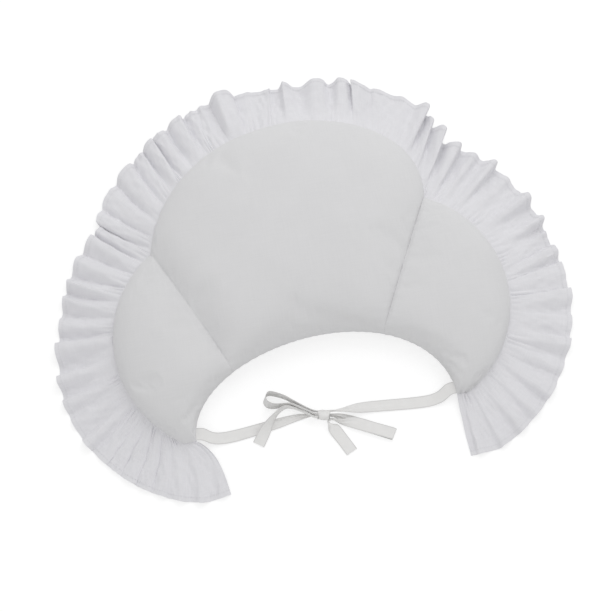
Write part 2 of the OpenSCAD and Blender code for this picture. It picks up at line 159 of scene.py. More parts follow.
RIGHT_ROUTE = (
    (RIGHT_X, TIE_Y, RIGHT_Z, RIGHT_LEAN, 1), (RIGHT_X - 8, TIE_Y - 1, RIGHT_Z - 0.5, RIGHT_LEAN, 1),
    (RIGHT_X - 21, 1.6, 3, 0, 1), (106, 1, 0.8, 0, 1), (46, 6.4, 2, 0, 0.9), (26, 6.6, 5.6, 20, 0.65),
    (6, 7.4, 7.4, 90, 0.3), (-8, 9.4, 7.4, 90, 0.3), (-16, 12.6, 7.6, 90, 0.35), (-26, 19.6, 8, 90, 0.6),
    (-36, 27.4, 7.8, 90, 0.9), (-45, 34.6, 7.6, 90, 1), (-58.5, 41.2, 7.6, 92, 1), (-64, 39, 7.6, 84, 1),
    (-66, 34, 7.4, 76, 1), (-63.6, 28.6, 7.4, 76, 1), (-57, 25.4, 7.4, 84, 1), (-48, 24.6, 7.6, 90, 0.9),
    (-38, 23.4, 8.6, 90, 0.6), (-26, 16, 8.8, 90, 0.42), (-16, 9, 8, 90, 0.34), (-10, 5.2, 7.6, 90, 0.3),
    (-13, 3.2, 7.4, 90, 0.3), (-21, 8.8, 8, 90, 0.32), (-32, 16.6, 7.4, 90, 0.42), (-42, 21.6, 7.6, 90, 0.75),
    (-50, 19.6, 8.6, 92, 0.95), (-58, 13.6, 9, 98, 1), (-65, 6.6, 8.2, 116, 1), (-72, -1.4, 5.2, 148, 1),
    (-82, -14.4, 0.8, 180, 1),
)
# Steps of the mesh between two points of a route, points across a ribbon, height of its pleats at the knot
ROUTE_STEPS, RIBBON_POINTS, PLEAT_H = 6, 9, 0.8
# Pitch of the ribbon's ribs, and how far from its middle the raised selvedge and the painted shade along both
# edges start
RIB_PITCH, SELVEDGE_AND_EDGE_SHADE_FROM = 0.9, 5.9
# Wrap of the knot: middle, direction, half its length, breadth and height, and its mean radius
KNOT_MIDDLE, KNOT_WAY = np.array([-3.5, 4.6, 5.4]), np.array([0.97, -0.22, 0.0])
KNOT_LONG, KNOT_WIDE, KNOT_HIGH, KNOT_R = 6.5, 4.6, 4.9, 4.5

# What the camera looks at, in metres, and the width of its sensor, in millimetres
CAMERA_TARGET, SENSOR_W = Vector((-0.0065, -0.045, 0.008)), 36.0
# Directions, sizes and distance of the lamps, and the table, in metres
KEY_WAY, KEY_SIZE = Vector((0.44, 0.86, 1.15)), 1.3
FILL_WAY, FILL_SIZE = Vector((-0.2, -1.0, 0.4)), 0.9
LAMP_DISTANCE = 1.9
TABLE_HALF, TABLE_STEPS, TABLE_Z = 3.0, 8, -0.0004
# Tone of the table where it gives light and where it is looked at, and its glow where it is looked at
TABLE_LIT, TABLE_SEEN, TABLE_GLOW = 0.85, 0.4, 0.7
# Faces that turn by more than this keep a sharp edge between them
SHARP_ANGLE = math.radians(48)


def mix(a, b, t):
    return a + (b - a) * t


def bullnose(x):
    """Quarter round that starts at an edge and ends on a flat."""
    return np.sqrt(1 - (1 - np.clip(x, 0, 1)) ** 2)


def to_frame(points):
    """Points of the pattern, in millimetres, as points of the frame, in metres."""
    return np.asarray(points, float) * MM + ORIGIN


def to_tip(k, t):
    """Share of the way from the panel seam to the tip, 0 all along the back section."""
    if k == BACK:
        return 0 * t
    return 1 - t if k == LEFT else t


def to_seam(k, t):
    """Share of the way from the middle of the back section, or from a tip, to the panel seam."""
    return np.abs(2 * t - 1) if k == BACK else 1 - to_tip(k, t)


def outer_edge(k, t):
    """Places on a section's outer seam."""
    a, b, sag = CORNERS[k], CORNERS[k + 1], BULGES[k]
    half = np.linalg.norm(b - a) / 2
    along = (b - a) / (2 * half)
    out = np.array((-along[1], along[0]))
    radius = (half ** 2 + sag ** 2) / (2 * sag)
    turn = (mix(-1, 1, t) * math.asin(half / radius))[..., None]
    lean = LOBE_LEAN * np.sin(np.pi * t ** 3.5)[..., None] if k == BACK else 0
    normal = np.cos(turn) * out + np.sin(turn) * along
    return (a + b) / 2 + out * (sag - radius) + (radius + lean) * normal


def waist_edge(k, t):
    """Places on a section's waist edge, an oval that leans to the right."""
    turn = np.radians(mix(TURNS[k], TURNS[k + 1], t))
    depth = WAIST_DEPTH * (1 + WAIST_LEAN * np.cos(turn))
    return np.stack([WAIST_A * np.cos(turn), depth * np.sin(turn)], -1)


# The pattern's zero point in the frame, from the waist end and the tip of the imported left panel
LEFT_LOW, LEFT_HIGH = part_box("left_top_panel")
ORIGIN = np.array([LEFT_HIGH.x - waist_edge(LEFT, 1 - SEAM_GAP)[0] * MM, LEFT_LOW.y, 0.0])


def seam_height(k, t):
    return SEAM_H * (1 - TIP_DROP * to_tip(k, t) ** 1.5)


def pad_points(k, t, v, top, fullness):
    """Points of a top or under cover, t from left to right, v from the waist edge to the outer seam."""
    tip, seam = to_tip(k, t), to_seam(k, t)
    plan = mix(waist_edge(k, t), outer_edge(k, t), v[..., None])
    z = seam_height(k, t)
    if top:
        crown = fullness * CROWN_H * (1 - TIP_DROP * tip ** 1.3) * (1 - SEAM_DIP * seam ** 4)
        slump = np.where(v < 0.5, WAIST_SLUMP, OUTER_SLUMP)
        z = z + crown * (1 - np.abs(2 * v - 1) ** slump) ** CROWN_ROUND * np.sqrt(1 - tip ** 8)
    else:
        drop = bullnose(np.minimum(v, 1 - v) / FLAT_SHARE) * bullnose((1 - tip) / TIP_FLAT_SHARE)
        near_seam = np.maximum(0, seam - UNDER_DIP_FROM) / UNDER_DIP_OVER
        z = z * (1 - drop * (1 - UNDER_DIP * near_seam ** 2))
    return np.concatenate([plan, z[..., None]], -1)


def bell(distance, width):
    """1 at no distance, falling off smoothly over the width."""
    return np.exp(-((distance / width) ** 2))


def row_share(x):
    """Rows across the pad crowd a little towards both edges."""
    return mix(x, (1 - np.cos(np.pi * x)) / 2, 0.6)


def grid_faces(at):
    """Quads over a grid of vertex numbers."""
    return np.stack([at[:-1, :-1], at[1:, :-1], at[1:, 1:], at[:-1, 1:]], -1).reshape(-1, 4)


def whole_faces(faces):
    """Faces as lists, without the corners that fall together."""
    kept = []
    for face in faces.tolist():
        corners = [c for n, c in enumerate(face) if c != face[n - 1]]
        if len(corners) > 2:
            kept.append(corners)
    return kept


def stuffed_skin(top, under, walls):
    """Closed skin of a top and an under grid with shared long edges. An end with no wall is sewn shut."""
    n, m = top.shape[0] - 1, top.shape[1] - 1
    top_at = np.arange((n + 1) * (m + 1)).reshape(n + 1, m + 1)
    sewn = np.zeros(top_at.shape, bool)
    sewn[:, [0, m]] = True
    for end, wall in zip((0, n), walls):
        sewn[end] |= not wall
    under_at = top_at.copy()
    under_at[~sewn] = top_at.size + np.arange(np.count_nonzero(~sewn))
    faces = [grid_faces(top_at), grid_faces(under_at)[:, ::-1]]
    for end, wall in zip((0, n), walls):
        if wall:
            a, b = top_at[end], under_at[end]
            quads = np.stack([a[:-1], a[1:], b[1:], b[:-1]], -1)
            faces.append(quads if end == 0 else quads[:, ::-1])
    points = np.concatenate([top.reshape(-1, 3), under[~sewn]])
    return points, whole_faces(np.concatenate(faces)), under_at


def new_piece(name, points, faces, cloth_map=None):
    """A piece of the object from points of the pattern, with the cloth's own flat places as its UV map."""
    mesh = bpy.data.meshes.new(name)
    mesh.from_pydata(to_frame(points).tolist(), [], faces)
    if cloth_map is not None:
        corner = np.empty(len(mesh.loops), np.int32)
        mesh.loops.foreach_get("vertex_index", corner)
        layer = mesh.uv_layers.new(name="cloth")
        places = (np.asarray(cloth_map) * MM)[corner]
        layer.uv.foreach_set("vector", places.astype(np.float32).ravel())
    mesh.validate()
    mesh.polygons.foreach_set("use_smooth", [True] * len(mesh.polygons))
    mesh.set_sharp_from_angle(angle=SHARP_ANGLE)
    piece = bpy.data.objects.new(name, mesh)
    bpy.context.scene.collection.objects.link(piece)
    return piece


def finish_piece(piece, material, slot, *nodes):
    """Gives a piece its material, hangs it on the root body and hides the solids that it stands for. The slot
    is not used.
    """
    piece.data.materials.append(material)
    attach(piece, "root")
    if nodes:
        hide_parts(*nodes)


class Shader:
    """Short way to lay out a material's nodes."""

    def __init__(self, name):
        self.material = bpy.data.materials.new(name)
        self.material.use_nodes = True
        self.nodes = self.material.node_tree.nodes
        self.links = self.material.node_tree.links
        self.skin = self.nodes["Principled BSDF"]

    def add(self, kind, **values):
        node = self.nodes.new("ShaderNode" + kind)
        for key, value in values.items():
            if hasattr(node, key):
                setattr(node, key, value)
            else:
                node.inputs[key.replace("_", " ")].default_value = value
        return node

    def link(self, source, node, socket):
        self.links.new(source, node.inputs[socket])

    def math(self, operation, a, b):
        node = self.add("Math", operation=operation)
        for n, value in enumerate((a, b)):
            if isinstance(value, (int, float)):
                node.inputs[n].default_value = value
            else:
                self.link(value, node, n)
        return node.outputs[0]

    def blend(self, a, share_a, b, share_b):
        """Sum of two values, each by its share."""
        return self.math("ADD", self.math("MULTIPLY", a, share_a), self.math("MULTIPLY", b, share_b))

    def noise(self, places, **values):
        node = self.add("TexNoise", **values)
        self.link(places, node, "Vector")
        return node.outputs["Fac"]

    def tinted(self, shade, dark, pale, places=(0.0, 1.0)):
        """Colour between a dark and a pale one, by the shade."""
        ramp = self.add("ValToRGB")
        for element, colour, place in zip(ramp.color_ramp.elements, (dark, pale), places):
            element.position = place
            element.color = [*colour, 1]
        self.link(shade, ramp, "Fac")
        return ramp.outputs["Color"]

    def raised(self, height, strength, distance):
        bump = self.add("Bump", Strength=strength, Distance=distance)
        self.link(height, bump, "Height")
        self.link(bump.outputs["Normal"], self.skin, "Normal")

    def finish(self, **values):
        for key, value in values.items():
            self.skin.inputs[key.replace("_", " ")].default_value = value


def scaled(colour, share):
    return [min(1, c * share) for c in colour]


def wave_scale(pitch):
    """Scale at which a wave texture repeats after that many millimetres."""
    return 2 * math.pi / (20 * pitch * MM)


def plain_weave(s, flat, pitch):
    """Height of threads that pass over and under each other and wander by a share of their pitch."""
    wander = s.add("TexNoise", Scale=140.0, Detail=2.0)
    s.link(flat, wander, "Vector")
    drift = s.add("VectorMath", operation="SCALE", Scale=0.35 * pitch * MM)
    s.link(wander.outputs["Color"], drift, 0)
    place = s.add("VectorMath", operation="ADD")
    s.link(flat, place, 0)
    s.link(drift.outputs[0], place, 1)
    over = s.add("TexChecker", Scale=1 / (pitch * MM))
    s.link(place.outputs[0], over, "Vector")
    weave = s.add("Mix", data_type="FLOAT")
    s.link(over.outputs["Fac"], weave, 0)
    for way, socket in (("X", 2), ("Y", 3)):
        thread = s.add("TexWave", bands_direction=way, Scale=wave_scale(pitch))
        s.link(place.outputs[0], thread, "Vector")
        s.link(thread.outputs["Fac"], weave, socket)
    return weave.outputs[0]


def slub_streaks(s, flat):
    """Uneven threads: streaks along both ways of the cloth."""
    ways = []
    for stretch in ((38.0, 620.0, 1.0), (560.0, 34.0, 1.0)):
        spread = s.add("Mapping", Scale=stretch)
        s.link(flat, spread, "Vector")
        ways.append(s.noise(spread.outputs[0], Scale=1.0, Detail=2.0, Roughness=0.6))
    return s.blend(ways[0], 0.5, ways[1], 0.5)


def woven_material(name, colour, pitch, relief, slub, roughness, sheen):
    """Cotton in plain weave, with slubs and a faint shade from place to place."""
    s = Shader(name)
    flat = s.add("UVMap", uv_map="cloth").outputs["UV"]
    weave, streaks = plain_weave(s, flat, pitch), slub_streaks(s, flat)
    shade = s.blend(streaks, 0.6, s.noise(flat, Scale=17.0, Detail=3.0), 0.4)
    dark, pale = scaled(colour, 1 - 0.5 * slub), scaled(colour, 1 + 0.25 * slub)
    s.link(s.tinted(shade, dark, pale, (0.36, 0.62)), s.skin, "Base Color")
    s.raised(s.blend(weave, 0.55, streaks, 0.9), 0.6, relief * MM)
    thread_roughness = 0.08
    rough = s.math("ADD", s.math("MULTIPLY", weave, thread_roughness), roughness - thread_roughness / 2)
    s.link(rough, s.skin, "Roughness")
    s.finish(Sheen_Weight=sheen, Sheen_Roughness=0.5, Specular_IOR_Level=0.25)
    return s.material


def ribbon_material(name, colour):
    """Ribbon with fine ribs across it, a firm selvedge raised along both edges, and painted shade that
    darkens both edges.
    """
    s = Shader(name)
    flat = s.add("UVMap", uv_map="cloth").outputs["UV"]
    ribs = s.add("TexWave", bands_direction="X", Scale=wave_scale(RIB_PITCH), Distortion=0.6, Detail=1.0)
    s.link(flat, ribs, "Vector")
    ribbing = ribs.outputs["Fac"]
    parts = s.add("SeparateXYZ")
    s.link(flat, parts, 0)
    from_middle = s.math("ABSOLUTE", parts.outputs["Y"], 0)
    # Mask of both edges: it raises the selvedge in the bump and also darkens the colour there as painted
    # shade
    edge = s.math("GREATER_THAN", from_middle, SELVEDGE_AND_EDGE_SHADE_FROM * MM)
    shade = s.blend(s.noise(flat, Scale=90.0, Detail=3.0), 0.7, ribbing, 0.3)
    # Painted shade: both edges are mixed halfway to 0.72 of the ribbon's colour, darker as if in shade
    edge_shade_mix = s.add("Mix", data_type="RGBA")
    s.link(s.math("MULTIPLY", edge, 0.5), edge_shade_mix, 0)
    s.link(s.tinted(shade, scaled(colour, 0.95), colour, (0.3, 0.7)), edge_shade_mix, 6)
    edge_shade_mix.inputs[7].default_value = [*scaled(colour, 0.72), 1]
    s.link(edge_shade_mix.outputs[2], s.skin, "Base Color")
    s.raised(s.blend(ribbing, 0.6, edge, 0.8), 0.5, 0.18 * MM)
    s.finish(Roughness=0.55, Sheen_Weight=0.1, Specular_IOR_Level=0.35)
    return s.material


def thread_material(name, colour):
    """Twisted sewing thread."""
    s = Shader(name)
    twist = s.noise(s.add("TexCoord").outputs["Object"], Scale=1400.0, Detail=1.0)
    s.link(s.tinted(twist, scaled(colour, 0.9), colour), s.skin, "Base Color")
    s.finish(Roughness=0.6)
    return s.material


class PadSettings(bpy.types.PropertyGroup):
    colour: FloatVectorProperty(
        name="Cover colour", description="Colour of the pad's cotton cover", subtype="COLOR", size=3,
        min=0, max=1, default=(0.764, 0.763, 0.771))
    pressure: FloatProperty(
        name="Stuffing pressure", description="How hard the stuffing pushes the cover out",
        default=4.0, min=0, max=10)
    ease: FloatProperty(
        name="Cover ease", description="Share by which the cover is cut larger than the stuffing",
        default=0.006, min=0, max=0.1, subtype="FACTOR")
    swell: FloatProperty(
        name="Most swell", description="Furthest that the stuffing may move the cover",
        default=0.010, min=0, max=0.03, unit="LENGTH")
    pucker: FloatProperty(
        name="Seam pucker", description="Height of the small puckers along a seam",
        default=0.0005, min=0, max=0.003, unit="LENGTH")
    crease: FloatProperty(
        name="Right seam crease", description="How far both panels dip at the right seam",
        default=0.0018, min=0, max=0.01, unit="LENGTH")
    roll: FloatProperty(
        name="Left seam roll", description="How far both panels roll down to the left seam",
        default=0.005, min=0, max=0.01, unit="LENGTH")
    groove: FloatProperty(
        name="Seam groove", description="Depth of the stitched line on a panel seam",
        default=0.0002, min=0, max=0.005, unit="LENGTH")


class RuffleSettings(bpy.types.PropertyGroup):
    colour: FloatVectorProperty(
        name="Ruffle colour", description="Colour of the ruffle's thin cotton", subtype="COLOR", size=3,
        min=0, max=1, default=(0.822, 0.818, 0.844))
    thickness: FloatProperty(
        name="Cloth thickness", description="Thickness of the ruffle's cloth",
        default=0.0006, min=0.0002, max=0.002, unit="LENGTH")
    hem: FloatProperty(
        name="Hem width", description="Width of the turned hem",
        default=0.006, min=0.003, max=0.015, unit="LENGTH")
    stitch: FloatProperty(
        name="Stitch length", description="Length of a hem stitch",
        default=0.003, min=0.002, max=0.006, unit="LENGTH")
    columns: IntProperty(
        name="Columns per fold", description="Mesh columns in each gathered fold",
        default=20, min=8, max=32)


class TieSettings(bpy.types.PropertyGroup):
    colour: FloatVectorProperty(
        name="Ribbon colour", description="Colour of the ribbon", subtype="COLOR", size=3,
        min=0, max=1, default=(0.888, 0.882, 0.872))
    width: FloatProperty(
        name="Ribbon width", description="Width of the ribbon",
        default=0.014, min=0.008, max=0.02, unit="LENGTH")
    thickness: FloatProperty(
        name="Ribbon thickness", description="Thickness of the ribbon",
        default=0.0006, min=0.0003, max=0.0015, unit="LENGTH")


class StageSettings(bpy.types.PropertyGroup):
    azimuth: FloatProperty(
        name="Camera azimuth", description="Turn of the camera round the pad",
        default=math.radians(-10.9), subtype="ANGLE")
    elevation: FloatProperty(
        name="Camera elevation", description="Height of the camera above the table",
        default=math.radians(66), subtype="ANGLE")
    distance: FloatProperty(
        name="Camera distance", description="Distance from the camera to the pad",
        default=1.75, unit="LENGTH")
    lens: FloatProperty(
        name="Lens", description="Focal length in millimetres", default=88.4, min=20, max=200)
    key: FloatProperty(
        name="Key power", description="Power of the soft lamp behind the pad, in watts", default=8.7, min=0)
    fill: FloatProperty(
        name="Fill power", description="Power of the weak lamp in front, in watts", default=2.0, min=0)
    sky: FloatProperty(
        name="Sky level", description="Level of the even light from all round", default=0.683, min=0)


def camera_way(azimuth, elevation):
    """Direction from the pad to the camera."""
    flat = math.cos(elevation)
    return Vector((math.sin(azimuth) * flat, -math.cos(azimuth) * flat, math.sin(elevation)))


def background_rays(nodes, links):
    """1 where the background is looked at, straight, mirrored or through glass, 0 where it gives light."""
    rays = nodes.new("ShaderNodeLightPath")
    seen = rays.outputs["Is Camera Ray"]
    for name in ("Is Glossy Ray", "Is Transmission Ray"):
        either = nodes.new("ShaderNodeMath")
        either.operation = "MAXIMUM"
        links.new(seen, either.inputs[0])
        links.new(rays.outputs[name], either.inputs[1])
        seen = either.outputs[0]
    return seen


class BUMROLL_OT_stage(bpy.types.Operator):
    """Camera, a soft lamp behind and a weak one in front, even light and a plain white table"""
    bl_idname = "bumroll.stage"
    bl_label = "Stage"

    def execute(self, context):
        scene, settings = context.scene, context.scene.bumroll_stage
        scene.view_settings.view_transform = "Standard"
        camera = bpy.data.objects.new("camera", bpy.data.cameras.new("camera"))
        camera.data.lens, camera.data.sensor_width = settings.lens, SENSOR_W
        way = camera_way(settings.azimuth, settings.elevation)
        camera.location = CAMERA_TARGET + settings.distance * way
        camera.rotation_euler = (CAMERA_TARGET - camera.location).to_track_quat("-Z", "Y").to_euler()
        scene.collection.objects.link(camera)
        scene.camera = camera
        self.lamp(scene, "key", KEY_WAY, KEY_SIZE, settings.key)
        self.lamp(scene, "fill", FILL_WAY, FILL_SIZE, settings.fill)
        self.world(scene, settings.sky)
        self.table(scene)
        return {"FINISHED"}

    def lamp(self, scene, name, way, size, power):
        light = bpy.data.lights.new(name, "AREA")
        light.shape, light.size, light.energy = "SQUARE", size, power
        lamp = bpy.data.objects.new(name, light)
        lamp.location = way.normalized() * LAMP_DISTANCE
        lamp.rotation_euler = (-way).to_track_quat("-Z", "Y").to_euler()
        scene.collection.objects.link(lamp)

    def world(self, scene, level):
        scene.world = bpy.data.worlds.new("studio")
        scene.world.use_nodes = True
        nodes, links = scene.world.node_tree.nodes, scene.world.node_tree.links
        even, white = nodes["Background"], nodes.new("ShaderNodeBackground")
        even.inputs["Color"].default_value = (1, 1, 1, 1)
        even.inputs["Strength"].default_value = level
        white.inputs["Color"].default_value = (1, 1, 1, 1)
        either = nodes.new("ShaderNodeMixShader")
        links.new(background_rays(nodes, links), either.inputs[0])
        links.new(even.outputs[0], either.inputs[1])
        links.new(white.outputs[0], either.inputs[2])
        links.new(either.outputs[0], nodes["World Output"].inputs["Surface"])

    def table(self, scene):
        mesh = bpy.data.meshes.new("table")
        count = TABLE_STEPS + 1
        place = np.linspace(-TABLE_HALF, TABLE_HALF, count)
        points = np.stack([*np.meshgrid(place, place, indexing="ij"), np.full((count, count), TABLE_Z)], -1)
        faces = grid_faces(np.arange(count ** 2).reshape(count, count))
        mesh.from_pydata(points.reshape(-1, 3).tolist(), [], faces.tolist())
        mesh.materials.append(self.table_material())
        table = bpy.data.objects.new("table", mesh)
        scene.collection.objects.link(table)

    def table_material(self):
        s = Shader("white table")
        seen = background_rays(s.nodes, s.links)
        tone = s.add("Mix", data_type="RGBA")
        s.link(seen, tone, 0)
        tone.inputs[6].default_value = (TABLE_LIT, TABLE_LIT, TABLE_LIT, 1)
        tone.inputs[7].default_value = (TABLE_SEEN, TABLE_SEEN, TABLE_SEEN, 1)
        s.link(tone.outputs[2], s.skin, "Base Color")
        s.finish(Roughness=0.9, Specular_IOR_Level=0.0)
        glow, both = s.add("Emission"), s.add("AddShader")
        s.link(s.math("MULTIPLY", seen, TABLE_GLOW), glow, "Strength")
        s.link(s.skin.outputs[0], both, 0)
        s.link(glow.outputs[0], both, 1)
        s.link(both.outputs[0], s.nodes["Material Output"], "Surface")
        return s.material


def smooth_run(points, steps):
    """Catmull-Rom curve through points, with that many steps between each two."""
    points = np.asarray(points, float)
    last = len(points) - 1
    return spread_weights(np.linspace(0, last, last * steps + 1), last) @ points


def spread_weights(places, last):
    """Catmull-Rom weights that carry values at 0 .. last to other places between them."""
    at = np.clip(np.floor(places).astype(int), 0, last - 1)
    f = places - at
    shares = ((2 * f ** 2 - f - f ** 3) / 2, (2 - 5 * f ** 2 + 3 * f ** 3) / 2,
              (f + 4 * f ** 2 - 3 * f ** 3) / 2, (f ** 3 - f ** 2) / 2)
    weights = np.zeros((len(places), last + 1))
    for step, share in zip((-1, 0, 1, 2), shares):
        np.add.at(weights, (np.arange(len(places)), np.clip(at + step, 0, last)), share)
    return weights


def unit(vectors):
    return vectors / np.linalg.norm(vectors, axis=-1, keepdims=True)


def run_along(points, axis):
    """Length from the first point of each line of points, along one axis of a grid."""
    steps = np.linalg.norm(np.diff(points, axis=axis), axis=-1)
    start = np.zeros_like(np.take(steps, [0], axis))
    return np.concatenate([start, np.cumsum(steps, axis)], axis)


def cloth_places(run, across):
    """Flat places of both faces of a sheet: lengths along it, and places across it."""
    places = np.stack(np.meshgrid(run, across, indexing="ij"), -1).reshape(-1, 2)
    return np.concatenate([places, places])


def closed_sheet(middle, half):
    """Points and faces of a closed sheet round a grid of middle points, half its thickness either way."""
    n, m = middle.shape[0] - 1, middle.shape[1] - 1
    skin = unit(np.cross(np.gradient(middle, axis=0), np.gradient(middle, axis=1))) * half
    upper = np.arange((n + 1) * (m + 1)).reshape(n + 1, m + 1)
    lower = upper + upper.size
    rims = [np.stack([a[:-1], b[:-1], b[1:], a[1:]], -1) for a, b in (
        (upper[0], lower[0]), (lower[n], upper[n]), (lower[:, 0], upper[:, 0]), (upper[:, m], lower[:, m]))]
    faces = np.concatenate([grid_faces(upper), grid_faces(lower)[:, ::-1], *[r[:, ::-1] for r in rims]])
    points = np.concatenate([(middle + skin).reshape(-1, 3), (middle - skin).reshape(-1, 3)])
    return points, faces.tolist()


class BUMROLL_OT_ties(bpy.types.Operator):
    """Two ribbon ties, knotted in a bow"""
    bl_idname = "bumroll.ties"
    bl_label = "Ribbon ties"

    def execute(self, context):
        settings = context.scene.bumroll_ties
        material = ribbon_material("white ribbon", settings.colour)
        knot = self.knot(settings, material)
        for name, route, pieces in (("left_ribbon", LEFT_ROUTE, []), ("right_ribbon", RIGHT_ROUTE, [knot])):
            tie, path = self.ribbon(name, route, settings)
            finish_piece(tie, material, "ribbon", name.replace("ribbon", "tie"))
            long = float(run_along(path, 0)[-1])
        return {"FINISHED"}

    def ribbon(self, name, route, settings):
        """A ribbon along its route, crushed into pleats where it narrows, and the line of its middle."""
        route, half_width = np.array(route, float), settings.width / MM / 2
        ahead = np.gradient(route[:, :2], axis=0)
        flat = unit(np.stack([-ahead[:, 1], ahead[:, 0]], -1))
        lean = np.radians(route[:, 3:4])
        half = half_width * route[:, 4:5] * np.hstack([flat * np.cos(lean), np.sin(lean)])
        middles, halves = smooth_run(route[:, :3], ROUTE_STEPS), smooth_run(half, ROUTE_STEPS)
        across = np.linspace(-1, 1, RIBBON_POINTS)
        share = np.linalg.norm(halves, axis=1) / half_width
        lift = unit(np.cross(np.gradient(middles, axis=0), halves))
        crush = np.sqrt(np.clip(1 - share ** 2, 0, 1)) * PLEAT_H
        pleat = crush[:, None] * np.sin(across * 2 * np.pi)[None, :]
        grid = middles[:, None] + across[None, :, None] * halves[:, None] + pleat[..., None] * lift[:, None]
        grid[..., 2] = np.maximum(grid[..., 2], RIBBON_LOW)
        points, faces = closed_sheet(grid, settings.thickness / MM / 2)
        places = cloth_places(run_along(middles, 0), across * half_width)
        return new_piece(name, points, faces, places), to_frame(middles)

    def knot(self, settings, material):
        """Short wrap of ribbon that holds the crossing, uneven round and along it."""
        turns, across = np.linspace(0, 2 * np.pi, 41), np.linspace(-1, 1, 11)
        a, c = np.meshgrid(turns, across, indexing="ij")
        swell = 1 + 0.10 * np.sin(3 * a + 1) + 0.16 * (1 - c ** 2) + 0.05 * np.cos(5 * a + 4 * c)
        long = KNOT_LONG * c * (1 + 0.12 * np.sin(2 * a))
        way, up = unit(KNOT_WAY), np.array([0, 0, 1.0])
        ring = [(KNOT_WIDE * swell * np.cos(a), np.cross(up, way)), (KNOT_HIGH * swell * np.sin(a), up)]
        grid = KNOT_MIDDLE + sum(size[..., None] * axis for size, axis in [(long, way), *ring])
        grid[..., 2] = np.maximum(grid[..., 2], RIBBON_LOW)
        points, faces = closed_sheet(grid[::-1], settings.thickness / MM / 2)
        places = cloth_places(turns * KNOT_R, across * KNOT_LONG)
        knot = new_piece("bow_knot", points, faces, places)
        finish_piece(knot, material, "ribbon")
        return knot


def fine_steps(count, near, first, step):
    """Places from 0 to count: given ones near both ends, and about even steps between, from the first."""
    even = np.linspace(first, count - first, round((count - 2 * first) / step) + 1)
    return np.concatenate([near, even, count - near[::-1]])


